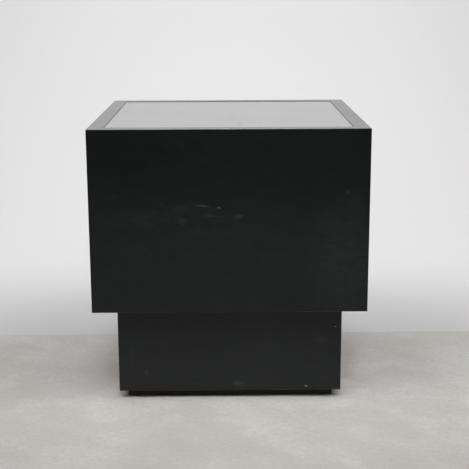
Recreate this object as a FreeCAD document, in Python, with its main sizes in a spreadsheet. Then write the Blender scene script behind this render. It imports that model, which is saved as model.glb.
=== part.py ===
"""Display plinth: a square upper case with a drop-in top panel, bolted to a smaller base on a kick frame.

The frame is +Z up, the front faces -Y, and the origin is on the floor under the middle of the plinth.
Millimetres throughout. Every size comes from the cells of the spreadsheet "sizes".
"""
import FreeCAD, Part
import os
import re
import Sketcher

Vector = FreeCAD.Vector

# alias, value, what it is
DRIVING = (
    ("case_width", 600, "outside width and depth of the upper case"),
    ("case_height", 400, "height of the upper case"),
    ("base_width", 500, "outside width and depth of the base"),
    ("base_height", 200, "height of the base walls"),
    ("board", 18, "thickness of the faced boards"),
    ("arris", 0.8, "rounding of the outside edges"),
    ("rim_width", 34, "width of the rim round the top panel"),
    ("panel_gap", 1, "gap between the top panel and the rim"),
    ("panel_drop", 1, "depth of the top panel below the rim"),
    ("sheet", 2, "thickness of the aluminium facing sheet"),
    ("sheet_arris", 0.3, "rounding of the sheet's edges"),
    ("backing", 12, "thickness of the board behind the sheet"),
    ("batten", 36, "width of the softwood battens and posts"),
    ("ledge_height", 24, "height of the ledge battens"),
    ("kick_height", 17, "height of the kick battens"),
    ("eased", 1, "chamfer on the softwood edges"),
    ("glide_height", 3, "thickness of the nail-on glides"),
    ("glide_radius", 13, "radius of a glide"),
    ("glide_bevel", 1.5, "bevel round the foot of a glide"),
    ("dot_radius", 6, "radius of a felt dot"),
    ("screw_radius", 2, "shank radius of the wood screws"),
    ("screw_head", 4, "head radius of the wood screws"),
    ("screw_sink", 2.6, "depth of a countersunk head"),
    ("screw_tip", 5, "length of a screw's point"),
    ("long_screw", 50, "length of the long screws"),
    ("middle_screw", 35, "length of the rim screws"),
    ("short_screw", 30, "length of the kick screws"),
    ("nail_radius", 1, "shank radius of a glide nail"),
    ("nail_head", 2.8, "head radius of a glide nail"),
    ("nail_head_height", 1, "height of a glide nail's head"),
    ("nail_sink", 1, "depth of a glide nail's head in its glide"),
    ("nail_length", 14, "length of a glide nail"),
    ("bolt_radius", 4, "shank radius of the deck bolts"),
    ("bolt_flats", 13, "width across the flats of a bolt head"),
    ("bolt_head", 5.3, "height of a bolt head"),
    ("bolt_length", 45, "length under a bolt head"),
    ("bolt_hole", 4.5, "radius of the bolt holes"),
    ("bolt_spread", 150, "distance of a bolt from the middle, each way"),
    ("washer_radius", 12, "radius of a deck washer"),
    ("washer", 1.6, "thickness of a deck washer"),
    ("tee_flange_radius", 11, "radius of a tee nut's flange"),
    ("tee_flange", 1.5, "thickness of a tee nut's flange"),
    ("tee_barrel_radius", 5.4, "outside radius of a tee nut's barrel"),
    ("tee_barrel", 11, "length of a tee nut's barrel"),
    ("tee_bore", 4.1, "bore radius of a tee nut"),
    ("post_margin", 50, "distance of a post's end screws from its ends"),
    ("post_stagger", 22, "height between the screws that cross in a post"),
    ("ledge_spread", 180, "distance of a ledge batten's end screws from its middle"),
    ("rim_spread", 120, "distance of a rail's screws from its middle"),
    ("kick_spread", 120, "distance of a kick batten's screws from its middle"),
    ("dot_spread", 130, "distance of a side's felt dots from its middle"),
)
ALIAS = re.compile(r"\b(" + "|".join(name for name, _, _ in DRIVING) + r")\b")

# heights above the floor
KICK_Z = "(glide_height)"
BASE_Z = "(glide_height + kick_height)"
CASE_Z = f"({BASE_Z} + base_height)"
TOP_Z = f"({CASE_Z} + case_height)"
LEDGE_TOP = f"({TOP_Z} - board)"
LEDGE_Z = f"({LEDGE_TOP} - ledge_height)"
SHEET_Z = f"({TOP_Z} - panel_drop - sheet)"
BACKING_Z = f"({SHEET_Z} - backing)"

# distances from the middle
CASE_HALF = "(case_width / 2)"
BASE_HALF = "(base_width / 2)"
CASE_INNER = f"({CASE_HALF} - board)"
BASE_INNER = f"({BASE_HALF} - board)"
PANEL_HALF = f"({CASE_HALF} - rim_width - panel_gap)"

SIDES = (("front", 0), ("right", 90), ("back", 180), ("left", 270))
CORNERS = (("front_left", -1, -1), ("front_right", 1, -1), ("back_right", 1, 1), ("back_left", -1, 1))

doc = FreeCAD.newDocument("DisplayPlinth")
sizes = doc.addObject("Spreadsheet::Sheet", "sizes")
subparts = []


def fill_sheet():
    """One row per driving dimension: the alias, the number and what it is."""
    for row, (alias, number, meaning) in enumerate(DRIVING, 1):
        sizes.set(f"A{row}", alias)
        sizes.set(f"B{row}", str(number))
        sizes.set(f"C{row}", meaning)
        sizes.setAlias(f"B{row}", alias)
    doc.recompute()


def on_sheet(expression):
    """The expression with each alias pointed at its cell."""
    return ALIAS.sub(r"sizes.\1", expression)


def value(expression):
    """The expression's number, worked out from the sheet."""
    return float(sizes.evalExpression(on_sheet(expression)))


def bind(thing, **properties):
    """Ties properties to the sheet. A double underscore stands for a dot."""
    for name, expression in properties.items():
        thing.setExpression(name.replace("__", "."), on_sheet(expression))
    return thing


def place(thing, x="0", y="0", z="0"):
    """Ties a placement's position to the sheet."""
    return bind(thing, Placement__Base__x=x, Placement__Base__y=y, Placement__Base__z=z)


def turn(thing, degrees):
    """Turns a thing about the plinth's middle."""
    thing.Placement = FreeCAD.Placement(Vector(0, 0, 0), FreeCAD.Rotation(Vector(0, 0, 1), degrees))
    return thing


def finished(thing, node):
    """Names a finished sub-part."""
    thing.Label = node
    subparts.append(thing)
    return thing


def outline(body, plane_role, name, corners):
    """A closed straight-sided sketch on one of the body's own planes, each corner tied to the sheet."""
    sketch = body.newObject("Sketcher::SketchObject", name)
    plane = next(f for f in body.Origin.OriginFeatures if f.Role == plane_role)
    sketch.AttachmentSupport = [(plane, "")]
    sketch.MapMode = "FlatFace"
    points = [Vector(value(x), value(y), 0) for x, y in corners]
    for here, there in zip(points, points[1:] + points[:1]):
        sketch.addGeometry(Part.LineSegment(here, there))
    for line in range(len(points)):
        sketch.addConstraint(Sketcher.Constraint("Coincident", line, 2, (line + 1) % len(points), 1))
    for line, (corner, point) in enumerate(zip(corners, points)):
        for axis, expression, number in (("X", corner[0], point.x), ("Y", corner[1], point.y)):
            constraint = sketch.addConstraint(Sketcher.Constraint(f"Distance{axis}", -1, 1, line, 1, number))
            sketch.renameConstraint(constraint, f"corner{line}{axis}")
            sketch.setExpression(f"Constraints.corner{line}{axis}", on_sheet(expression))
    return sketch


def prism(name, corners, height):
    """A body whose plan outline stands to a height."""
    body = doc.addObject("PartDesign::Body", name)
    pad = body.newObject("PartDesign::Pad", name + "_pad")
    pad.Profile = outline(body, "XY_Plane", name + "_plan", corners)
    bind(pad, Length=height)
    doc.recompute()
    return body


def rectangle(half_x, half_y):
    """The corners of a rectangle about the middle."""
    return [(f"-{half_x}", f"-{half_y}"), (half_x, f"-{half_y}"), (half_x, half_y), (f"-{half_x}", half_y)]


def ease(body, radius, feature="PartDesign::Chamfer"):
    """Eases every edge of a body with a chamfer or a fillet."""
    last = body.Tip
    eased = body.newObject(feature, body.Name + "_eased")
    eased.Base = (last, ["Edge1"])
    eased.UseAllEdges = True
    bind(eased, **{"Size" if feature.endswith("Chamfer") else "Radius": radius})
    doc.recompute()
    return body


def stick(name, half_x, half_y, height, x="0", y="0", z="0"):
    """A softwood batten or post with eased edges, its foot centred on x, y, z."""
    return place(ease(prism(name, rectangle(half_x, half_y), height), "eased"), x, y, z)


def turned(name, profile):
    """A body turned about +Z from a profile in the XZ plane."""
    body = doc.addObject("PartDesign::Body", name)
    turning = body.newObject("PartDesign::Revolution", name + "_turning")
    sketch = outline(body, "XZ_Plane", name + "_profile", profile)
    turning.Profile = sketch
    turning.ReferenceAxis = (sketch, ["V_Axis"])
    turning.Angle = 360
    doc.recompute()
    return body


def envelope(name, half, height, z):
    """A block with every edge rounded, which rounds the outside edges of the boards inside it."""
    return place(ease(prism(name, rectangle(half, half), height), "arris", "PartDesign::Fillet"), z=z)


def rounded(stock, block):
    """The stock's share of a rounded block."""
    common = doc.addObject("Part::Common", stock.Name + "_rounded")
    common.Base = stock
    common.Tool = block
    return common


def drilled(stock, *fixings):
    """The stock with a hole of the exact shape of each fixing that enters it."""
    tool = fixings[0]
    if len(fixings) > 1:
        tool = doc.addObject("Part::Compound", stock.Name + "_fixings")
        tool.Links = list(fixings)
    cut = doc.addObject("Part::Cut", stock.Name + "_drilled")
    cut.Base = stock
    cut.Tool = tool
    return cut


def group(name, master, places):
    """Copies of one master, its own axis turned to each direction, as the solids of one sub-part."""
    copies = []
    for position, direction in places:
        copy = master.Shape.copy()
        copy.Placement = FreeCAD.Placement(position, FreeCAD.Rotation(Vector(0, 0, 1), direction))
        copies.append(copy)
    feature = doc.addObject("Part::Feature", name)
    feature.Shape = Part.Compound(copies)
    return feature


# ---- fasteners ----


def wood_screw(name, length):
    """A countersunk wood screw, head at the origin, pointing along +Z."""
    return turned(
        name,
        [
            ("0", "0"),
            ("screw_head", "0"),
            ("screw_radius", "screw_sink"),
            ("screw_radius", f"{length} - screw_tip"),
            ("0", length),
        ],
    )


def ring(name, inner, outer, thickness):
    """A flat ring standing on the origin."""
    return turned(name, [(inner, "0"), (outer, "0"), (outer, thickness), (inner, thickness)])


def deck_bolt():
    """A hexagon bolt, the underside of its head at the origin, its shank along +Z."""
    head = doc.addObject("Part::Prism", "bolt_head_stock")
    head.Polygon = 6
    bind(head, Circumradius="bolt_flats / 2 / cos(30 deg)", Height="bolt_head")
    place(head, z="-bolt_head")
    shank = doc.addObject("Part::Cylinder", "bolt_shank")
    bind(shank, Radius="bolt_radius", Height="bolt_length")
    bolt = doc.addObject("Part::Fuse", "deck_bolt")
    bolt.Base = head
    bolt.Tool = shank
    doc.recompute()
    return bolt


def tee_nut():
    """A tee nut, its flange's inner face at the origin, its barrel along +Z."""
    return turned(
        "tee_nut",
        [
            ("tee_bore", "-tee_flange"),
            ("tee_flange_radius", "-tee_flange"),
            ("tee_flange_radius", "0"),
            ("tee_barrel_radius", "0"),
            ("tee_barrel_radius", "tee_barrel"),
            ("tee_bore", "tee_barrel"),
        ],
    )


def along_sides(distance, height, places, direction):
    """Positions at each of the four sides: a distance out, a height up and some places along."""
    spots = []
    for _, degrees in SIDES:
        around = FreeCAD.Rotation(Vector(0, 0, 1), degrees)
        for along in places:
            spots.append((around.multVec(Vector(along, -distance, height)), around.multVec(direction)))
    return spots


def at_corners(distance, height, direction):
    """Positions at the four corners, the same distance out each way."""
    return [(Vector(x * distance, y * distance, height), direction) for _, x, y in CORNERS]


def through_posts(inner, foot, head, rows):
    """Positions of the screws that hold the posts to both walls of each corner, in evenly spaced rows."""
    near = inner - value("batten")
    middle = inner - value("batten") / 2
    half_stagger = value("post_stagger") / 2
    first = foot + value("post_margin")
    step = (head - value("post_margin") - first) / (rows - 1)
    spots = []
    for _, x, y in CORNERS:
        for row in range(rows):
            height = first + row * step
            spots.append((Vector(x * middle, y * near, height - half_stagger), Vector(0, y, 0)))
            spots.append((Vector(x * near, y * middle, height + half_stagger), Vector(x, 0, 0)))
    return spots


def make_fasteners():
    """Every screw, nail, bolt, washer and nut, keyed by node name."""
    up, down, outward = Vector(0, 0, 1), Vector(0, 0, -1), Vector(0, -1, 0)
    long_screw = wood_screw("long_screw_master", "long_screw")
    middle_screw = wood_screw("middle_screw_master", "middle_screw")
    short_screw = wood_screw("short_screw_master", "short_screw")
    washer = ring("washer_master", "bolt_hole", "washer_radius", "washer")
    nail = turned(
        "nail_master",
        [
            ("0", "0"),
            ("nail_head", "0"),
            ("nail_head", "nail_head_height"),
            ("nail_radius", "nail_head_height"),
            ("nail_radius", "nail_length"),
            ("0", "nail_length"),
        ],
    )
    half_batten = value("batten") / 2
    case_inner, base_inner = value(CASE_INNER), value(BASE_INNER)
    case_post, base_post = case_inner - half_batten, base_inner - half_batten
    ledge_middle = value(LEDGE_Z) + value("ledge_height") / 2
    rim_line = (case_inner + value(CASE_HALF) - value("rim_width")) / 2
    deck = value("bolt_spread")
    ledge_end, rim_end, kick_end = value("ledge_spread"), value("rim_spread"), value("kick_spread")
    head_side = value(f"{CASE_Z} + board + washer")
    made = {
        "case_post_screws": (
            long_screw,
            through_posts(case_inner, value(f"{CASE_Z} + board"), value(LEDGE_Z), rows=3),
        ),
        "base_post_screws": (
            long_screw,
            through_posts(base_inner, value(f"{BASE_Z} + board"), value(f"{CASE_Z} - board"), rows=2),
        ),
        "ledge_screws": (
            long_screw,
            along_sides(case_inner - value("batten"), ledge_middle, (-ledge_end, 0, ledge_end), outward),
        ),
        "rim_screws": (middle_screw, along_sides(rim_line, value(LEDGE_Z), (-rim_end, rim_end), up)),
        "kick_screws": (short_screw, along_sides(base_post, value(KICK_Z), (-kick_end, kick_end), up)),
        "case_floor_screws": (long_screw, at_corners(case_post, value(CASE_Z), up)),
        "base_lid_screws": (long_screw, at_corners(base_post, value(CASE_Z), down)),
        "base_floor_screws": (long_screw, at_corners(base_post, value(BASE_Z), up)),
        "glide_nails": (nail, at_corners(base_post, value("nail_sink"), up)),
        "deck_bolts": (deck_bolt(), at_corners(deck, head_side, down)),
        "deck_washers": (washer, at_corners(deck, value(f"{CASE_Z} + board"), up)),
        "deck_tee_nuts": (tee_nut(), at_corners(deck, value(f"{CASE_Z} - board"), up)),
    }
    return {node: finished(group(node, master, places), node) for node, (master, places) in made.items()}


def bolt_holes():
    """The clearance holes of the deck bolts, as one cutting tool."""
    height = value("board") * 2
    cylinder = Part.makeCylinder(value("bolt_hole"), height, Vector(0, 0, value(f"{CASE_Z} - board")))
    tool = doc.addObject("Part::Feature", "bolt_holes")
    tool.Shape = Part.Compound([
        cylinder.translated(spot) for spot, _ in at_corners(value("bolt_spread"), 0, Vector(0, 0, 1))
    ])
    return tool


# ---- boards ----


def mitred(half, width):
    """The plan of a board along the front, its ends mitred at 45 degrees."""
    inner = f"({half} - {width})"
    return [(f"-{half}", f"-{half}"), (half, f"-{half}"), (inner, f"-{inner}"), (f"-{inner}", f"-{inner}")]


def cut_along(body, name, section):
    """Cuts a section, drawn looking along X, right through a body."""
    pocket = body.newObject("PartDesign::Pocket", name)
    pocket.Profile = outline(body, "YZ_Plane", name + "_section", section)
    pocket.Type = "ThroughAll"
    pocket.Midplane = True
    doc.recompute()


def case_walls(block, fixings):
    """Four walls, mitred at the corners and along the top."""
    for side, degrees in SIDES:
        wall = prism(f"case_{side}_stock", mitred(CASE_HALF, "board"), "case_height")
        cut_along(
            wall,
            f"case_{side}_top_mitre",
            [
                (f"-{CASE_HALF}", "case_height"),
                (f"-{CASE_INNER}", "case_height - board"),
                (f"-{CASE_INNER}", "case_height + board"),
                (f"-{CASE_HALF}", "case_height + board"),
            ],
        )
        place(turn(wall, degrees), z=CASE_Z)
        screws = (fixings["case_post_screws"], fixings["ledge_screws"])
        finished(drilled(rounded(wall, block), *screws), f"case_{side}_panel")


def rim_rails(block, fixings):
    """Four rails round the top panel, mitred at the corners and along the walls."""
    for side, degrees in SIDES:
        rail = prism(f"rim_{side}_stock", mitred(CASE_HALF, "rim_width"), "board")
        cut_along(
            rail,
            f"rim_{side}_mitre",
            [
                (f"-{CASE_HALF}", "board"),
                (f"-({CASE_HALF} + board)", "board"),
                (f"-({CASE_HALF} + board)", "0"),
                (f"-{CASE_INNER}", "0"),
            ],
        )
        place(turn(rail, degrees), z=LEDGE_TOP)
        finished(drilled(rounded(rail, block), fixings["rim_screws"]), f"rim_{side}_rail")


def base_walls(block, fixings):
    """Four walls, mitred at the corners."""
    for side, degrees in SIDES:
        wall = prism(f"base_{side}_stock", mitred(BASE_HALF, "board"), "base_height")
        place(turn(wall, degrees), z=BASE_Z)
        finished(drilled(rounded(wall, block), fixings["base_post_screws"]), f"base_{side}_panel")


def flat_boards(fixings, holes):
    """The floor of the case, and the lid and the floor of the base, each fitted between its walls."""
    case_floor = place(prism("case_floor_stock", rectangle(CASE_INNER, CASE_INNER), "board"), z=CASE_Z)
    base_lid = place(
        prism("base_lid_stock", rectangle(BASE_INNER, BASE_INNER), "board"), z=f"{CASE_Z} - board"
    )
    base_floor = place(prism("base_floor_stock", rectangle(BASE_INNER, BASE_INNER), "board"), z=BASE_Z)
    finished(drilled(case_floor, fixings["case_floor_screws"], holes), "case_floor")
    finished(drilled(base_lid, fixings["base_lid_screws"], fixings["deck_tee_nuts"], holes), "base_lid")
    finished(drilled(base_floor, fixings["base_floor_screws"], fixings["kick_screws"]), "base_floor")


# ---- softwood ----


def corner_posts(name, inner, foot, head, *fixings):
    """A post in each inner corner of a square, from a height to a height."""
    half = "(batten / 2)"
    out = f"({inner} - {half})"
    for corner, x, y in CORNERS:
        place_of_foot = (f"{x} * {out}", f"{y} * {out}", foot)
        post = stick(f"{name}_{corner}_stock", half, half, f"{head} - {foot}", *place_of_foot)
        finished(drilled(post, *fixings), f"{name}_{corner}")


def posts(fixings):
    """The posts of the case and of the base."""
    corner_posts(
        "case_post",
        CASE_INNER,
        f"({CASE_Z} + board)",
        LEDGE_Z,
        fixings["case_post_screws"],
        fixings["case_floor_screws"],
    )
    corner_posts(
        "base_post",
        BASE_INNER,
        f"({BASE_Z} + board)",
        f"({CASE_Z} - board)",
        fixings["base_post_screws"],
        fixings["base_lid_screws"],
        fixings["base_floor_screws"],
    )


def batten_ring(name, inner, height, z, *fixings):
    """Four battens laid flat inside a square: the front and back run through, the sides fit between."""
    half = "(batten / 2)"
    out = f"({inner} - {half})"
    for side, x, y in (("front", 0, -1), ("right", 1, 0), ("back", 0, 1), ("left", -1, 0)):
        through = (inner, half) if y else (half, f"({inner} - batten)")
        batten = stick(f"{name}_{side}_stock", *through, height, f"{x} * {out}", f"{y} * {out}", z)
        finished(drilled(batten, *fixings), f"{name}_{side}_batten")


# ---- small parts ----


def top_panel():
    """The drop-in panel: an aluminium sheet on a backing board."""
    corners = rectangle(PANEL_HALF, PANEL_HALF)
    sheet = ease(prism("panel_sheet_stock", corners, "sheet"), "sheet_arris", "PartDesign::Fillet")
    finished(place(sheet, z=SHEET_Z), "panel_sheet")
    finished(place(prism("panel_backing_stock", corners, "backing"), z=BACKING_Z), "panel_backing")


def felt_dots():
    """Two felt dots on each ledge batten, which the top panel rests on."""
    dot = turned(
        "felt_dot_master",
        [
            ("0", "0"),
            ("dot_radius", "0"),
            ("dot_radius", f"{BACKING_Z} - {LEDGE_TOP}"),
            ("0", f"{BACKING_Z} - {LEDGE_TOP}"),
        ],
    )
    line = value(f"{CASE_INNER} - batten + (batten + board - rim_width) / 2")
    along = value("dot_spread")
    spots = along_sides(line, value(LEDGE_TOP), (-along, along), Vector(0, 0, 1))
    finished(group("felt_dots", dot, spots), "felt_dots")


def glides(fixings):
    """A round glide under each corner of the kick frame, with a recess for the head of its nail."""
    out = f"({BASE_INNER} - batten / 2)"
    for corner, x, y in CORNERS:
        stock = turned(
            f"glide_{corner}_stock",
            [
                ("nail_head", "0"),
                ("glide_radius - glide_bevel", "0"),
                ("glide_radius", "glide_bevel"),
                ("glide_radius", "glide_height"),
                ("0", "glide_height"),
                ("0", "nail_sink"),
                ("nail_head", "nail_sink"),
            ],
        )
        place(stock, f"{x} * {out}", f"{y} * {out}")
        finished(drilled(stock, fixings["glide_nails"]), f"glide_{corner}")


def check():
    """Stops if a feature failed or a sub-part isn't sound."""
    bad = [thing.Name for thing in doc.Objects if {"Invalid", "Error"} & set(thing.State)]
    if bad:
        raise RuntimeError(f"failed features: {bad}")
    for thing in subparts:
        shape = thing.Shape
        if shape.isNull() or not shape.isValid() or not shape.Solids:
            raise RuntimeError(f"{thing.Label} is not a sound solid")


def main():
    fill_sheet()
    case_block = envelope("case_block", CASE_HALF, "case_height", CASE_Z)
    base_block = envelope("base_block", BASE_HALF, "base_height", BASE_Z)
    fixings = make_fasteners()
    case_walls(case_block, fixings)
    rim_rails(case_block, fixings)
    base_walls(base_block, fixings)
    flat_boards(fixings, bolt_holes())
    posts(fixings)
    batten_ring("ledge", CASE_INNER, "ledge_height", LEDGE_Z, fixings["ledge_screws"], fixings["rim_screws"])
    batten_ring("kick", BASE_INNER, "kick_height", KICK_Z, fixings["kick_screws"], fixings["glide_nails"])
    top_panel()
    felt_dots()
    glides(fixings)
    doc.recompute()
    check()
    os.makedirs("parts", exist_ok=True)
    for thing in subparts:
        thing.Shape.exportStep(f"parts/{thing.Label}.step")
    print(len(subparts), "sub-parts written")


main()
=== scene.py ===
"""Looks of the display plinth: its finishes, screws, bolts and felt dots, and the studio it stands in."""
import math

import bmesh
import bpy
from mathutils import Matrix, Vector


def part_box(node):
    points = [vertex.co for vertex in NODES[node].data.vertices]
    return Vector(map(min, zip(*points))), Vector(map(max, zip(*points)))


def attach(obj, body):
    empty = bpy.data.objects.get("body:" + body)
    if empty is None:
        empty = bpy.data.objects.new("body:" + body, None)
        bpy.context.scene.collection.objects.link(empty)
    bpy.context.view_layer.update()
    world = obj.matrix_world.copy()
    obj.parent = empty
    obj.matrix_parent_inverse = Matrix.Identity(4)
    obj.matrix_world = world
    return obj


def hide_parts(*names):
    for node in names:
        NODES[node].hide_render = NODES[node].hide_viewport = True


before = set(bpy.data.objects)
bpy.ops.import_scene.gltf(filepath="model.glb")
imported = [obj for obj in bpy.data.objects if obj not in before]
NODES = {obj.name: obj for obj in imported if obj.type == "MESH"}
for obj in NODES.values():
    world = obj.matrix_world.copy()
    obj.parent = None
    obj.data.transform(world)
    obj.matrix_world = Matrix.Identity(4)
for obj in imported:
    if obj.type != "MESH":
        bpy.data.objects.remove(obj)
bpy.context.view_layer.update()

MM = 0.001
SIDES = ("front", "right", "back", "left")
CORNERS = ("front_left", "front_right", "back_right", "back_left")


# ---- sizes, from the frame ----


def size_of(node):
    """The size of a node's box."""
    low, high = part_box(node)
    return high - low


CASE_LOW, CASE_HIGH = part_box("case_front_panel")[0].z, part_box("rim_front_rail")[1].z
CASE_HALF = -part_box("case_front_panel")[0].y
BASE_LOW, BASE_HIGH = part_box("base_front_panel")[0].z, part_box("base_front_panel")[1].z
BASE_HALF = -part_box("base_front_panel")[0].y
BOARD = size_of("case_front_panel").y
RIM_INNER = -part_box("rim_front_rail")[1].y


# ---- tools for node trees ----


def shade(red, green, blue):
    """A linear colour from its display values, each from 0 to 255."""

    def linear(part):
        part = part / 255
        return part / 12.92 if part <= 0.04045 else ((part + 0.055) / 1.055) ** 2.4

    return (linear(red), linear(green), linear(blue), 1)


def fill(node, inputs):
    """Sets a node's sockets: a socket is linked, anything else is a plain value."""
    for name, given in inputs.items():
        if isinstance(given, bpy.types.NodeSocket):
            node.id_data.links.new(given, node.inputs[name])
        else:
            node.inputs[name].default_value = given
    return node


def add(tree, kind, inputs=None, **settings):
    """Adds a node with its settings and its sockets filled."""
    node = tree.nodes.new("ShaderNode" + kind)
    for name, given in settings.items():
        setattr(node, name, given)
    return fill(node, inputs or {})


def calc(tree, operation, *values):
    """The output of a Math node."""
    return add(tree, "Math", dict(enumerate(values)), operation=operation).outputs[0]


def vector_calc(tree, operation, *values):
    """The vector output of a Vector Math node."""
    return add(tree, "VectorMath", dict(enumerate(values)), operation=operation).outputs[0]


def step(tree, value, start, end, low=0.0, high=1.0):
    """A smooth step of a value from start to end."""
    inputs = {0: value, 1: start, 2: end, 3: low, 4: high}
    return add(tree, "MapRange", inputs, interpolation_type="SMOOTHSTEP").outputs[0]


def spread(tree, value, low, high):
    """A value from 0 to 1 spread from low to high."""
    return add(tree, "MapRange", {0: value, 3: low, 4: high}).outputs[0]


def ramp(tree, value, start, end):
    """A straight ramp from 0 to 1 as a value goes from start to end."""
    return add(tree, "MapRange", {0: value, 1: start, 2: end}).outputs[0]


def blend(tree, factor, first, second):
    """A mix of two colours."""
    return add(tree, "Mix", {0: factor, 6: first, 7: second}, data_type="RGBA").outputs[2]


def noise(tree, vector, scale, detail=2.0, distortion=0.0):
    """The value of a noise texture."""
    inputs = {"Vector": vector, "Scale": scale, "Detail": detail, "Distortion": distortion}
    return add(tree, "TexNoise", inputs).outputs[0]


def stretched(tree, vector, scale, turn=(0, 0, 0)):
    """A vector turned and then scaled, which stretches the pattern that reads it."""
    turned = add(tree, "Mapping", {"Vector": vector, "Rotation": turn}).outputs[0]
    return add(tree, "Mapping", {"Vector": turned, "Scale": scale}).outputs[0]


def bump(tree, height, distance, strength=1.0, normal=None):
    """The normal of a Bump node."""
    inputs = {"Height": height, "Distance": distance, "Strength": strength}
    if normal is not None:
        inputs["Normal"] = normal
    return add(tree, "Bump", inputs).outputs[0]


class Effect:
    """A shader node group with named inputs and outputs, built once and placed in materials."""

    def __init__(self, name, inputs, outputs):
        self.tree = bpy.data.node_groups.new(name, "ShaderNodeTree")
        for socket, default in inputs.items():
            kind = "NodeSocketVector" if isinstance(default, tuple) else "NodeSocketFloat"
            made = self.tree.interface.new_socket(socket, in_out="INPUT", socket_type=kind)
            made.default_value = default
        for socket in outputs:
            self.tree.interface.new_socket(socket, in_out="OUTPUT", socket_type="NodeSocketFloat")
        self.given = self.tree.nodes.new("NodeGroupInput").outputs
        self.result = self.tree.nodes.new("NodeGroupOutput").inputs

    def gives(self, **results):
        """Links the group's outputs."""
        for name, socket in results.items():
            self.tree.links.new(socket, self.result[name.replace("_", " ")])
        return self

    def place(self, tree, **inputs):
        """The outputs of the group, placed in a material."""
        node = tree.nodes.new("ShaderNodeGroup")
        node.node_tree = self.tree
        return fill(node, {name.replace("_", " "): given for name, given in inputs.items()}).outputs


def material(name, roughness=0.5, **plain):
    """A new material: its tree, its Principled shader's sockets and its object coordinates."""
    made = bpy.data.materials.new(name)
    made.use_nodes = True
    tree = made.node_tree
    tree.nodes.clear()
    shader = add(tree, "BsdfPrincipled", {"Roughness": roughness})
    for socket, given in plain.items():
        shader.inputs[socket.replace("_", " ")].default_value = given
    output = tree.nodes.new("ShaderNodeOutputMaterial")
    tree.links.new(shader.outputs[0], output.inputs[0])
    place = add(tree, "TexCoord").outputs["Object"]
    return made, tree, shader, place


# ---- effects that several finishes share ----


def make_edge_wear():
    """Rubbing along the edges of a box, broken into patches."""
    box = {"Centre": (0, 0, 0), "Half Size": (1, 1, 1)}
    inputs = {"Vector": (0, 0, 0), **box, "Width": 0.002, "Patch Scale": 25.0}
    effect = Effect("edge wear", inputs, ["Wear", "Edge"])
    tree, given = effect.tree, effect.given
    offset = vector_calc(tree, "SUBTRACT", given["Vector"], given["Centre"])
    depth = vector_calc(tree, "SUBTRACT", given["Half Size"], vector_calc(tree, "ABSOLUTE", offset))
    parts = add(tree, "SeparateXYZ", {0: depth}).outputs
    x, y, z = (step(tree, part, 0.0, given["Width"], 1.0, 0.0) for part in parts)
    pairs = [calc(tree, "MULTIPLY", a, b) for a, b in ((x, y), (y, z), (z, x))]
    edge = calc(tree, "MAXIMUM", calc(tree, "MAXIMUM", pairs[0], pairs[1]), pairs[2])
    patches = step(tree, noise(tree, given["Vector"], given["Patch Scale"], 4.0), 0.42, 0.68)
    return effect.gives(Wear=calc(tree, "MULTIPLY", edge, patches), Edge=edge)


def make_scratches():
    """Fine level scratches and a few slanting ones, in patches, with the cloudy film of handling."""
    effect = Effect("hairline scratches", {"Vector": (0, 0, 0)}, ["Scratch", "Film"])
    tree, given = effect.tree, effect.given
    level = noise(tree, stretched(tree, given["Vector"], (9, 9, 900), (0, 0.03, 0)), 1.0, 0.0)
    slanting = noise(tree, stretched(tree, given["Vector"], (700, 700, 8), (0, 0.5, 0.3)), 1.0, 0.0)
    where = step(tree, noise(tree, given["Vector"], 6.0, 2.0), 0.48, 0.68)
    elsewhere = step(tree, noise(tree, given["Vector"], 5.0, 2.0), 0.52, 0.38)
    first = calc(tree, "MULTIPLY", step(tree, level, 0.68, 0.8), where)
    second = calc(tree, "MULTIPLY", step(tree, slanting, 0.72, 0.82), elsewhere)
    cloud = noise(tree, stretched(tree, given["Vector"], (5, 5, 8)), 1.0, 4.0)
    smear = noise(tree, stretched(tree, given["Vector"], (12, 12, 60)), 1.0, 4.0)
    lump = noise(tree, stretched(tree, given["Vector"], (34, 34, 46)), 1.0, 2.0)
    film = calc(tree, "MULTIPLY_ADD", smear, 0.25, calc(tree, "MULTIPLY", cloud, 0.5))
    film = calc(tree, "MULTIPLY_ADD", lump, 0.25, film)
    return effect.gives(Scratch=calc(tree, "MAXIMUM", first, second), Film=film)


def make_dust():
    """Thin dust on what faces up."""
    effect = Effect("settled dust", {"Vector": (0, 0, 0), "Normal": (0, 0, 1)}, ["Dust"])
    tree, given = effect.tree, effect.given
    up = step(tree, add(tree, "SeparateXYZ", {0: given["Normal"]}).outputs[2], 0.7, 0.98)
    drift = step(tree, noise(tree, given["Vector"], 9.0, 5.0, 0.4), 0.35, 0.75)
    specks = step(tree, noise(tree, given["Vector"], 700.0, 1.0), 0.62, 0.72)
    amount = calc(tree, "MAXIMUM", calc(tree, "MULTIPLY", drift, 0.4), specks)
    return effect.gives(Dust=calc(tree, "MULTIPLY", up, amount))


def make_mark():
    """One rubbed mark, an ellipse broken into level streaks."""
    ellipse = {"Centre": (0, 0, 0), "Size": (1, 1, 1), "Tilt": 0.0}
    inputs = {"Vector": (0, 0, 0), **ellipse, "Streaks": 1.0, "Strength": 1.0}
    effect = Effect("rubbed mark", inputs, ["Mark"])
    tree, given = effect.tree, effect.given
    offset = vector_calc(tree, "SUBTRACT", given["Vector"], given["Centre"])
    turned = add(
        tree,
        "VectorRotate",
        {"Vector": offset, "Axis": (0, 1, 0), "Angle": given["Tilt"]},
        rotation_type="AXIS_ANGLE",
    ).outputs[0]
    scaled = vector_calc(tree, "DIVIDE", turned, given["Size"])
    length = add(tree, "VectorMath", {0: scaled}, operation="LENGTH").outputs["Value"]
    inside = step(tree, length, 1.0, 0.15)
    streaked = calc(tree, "MULTIPLY", inside, given["Streaks"])
    return effect.gives(Mark=calc(tree, "MULTIPLY", streaked, given["Strength"]))


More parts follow.
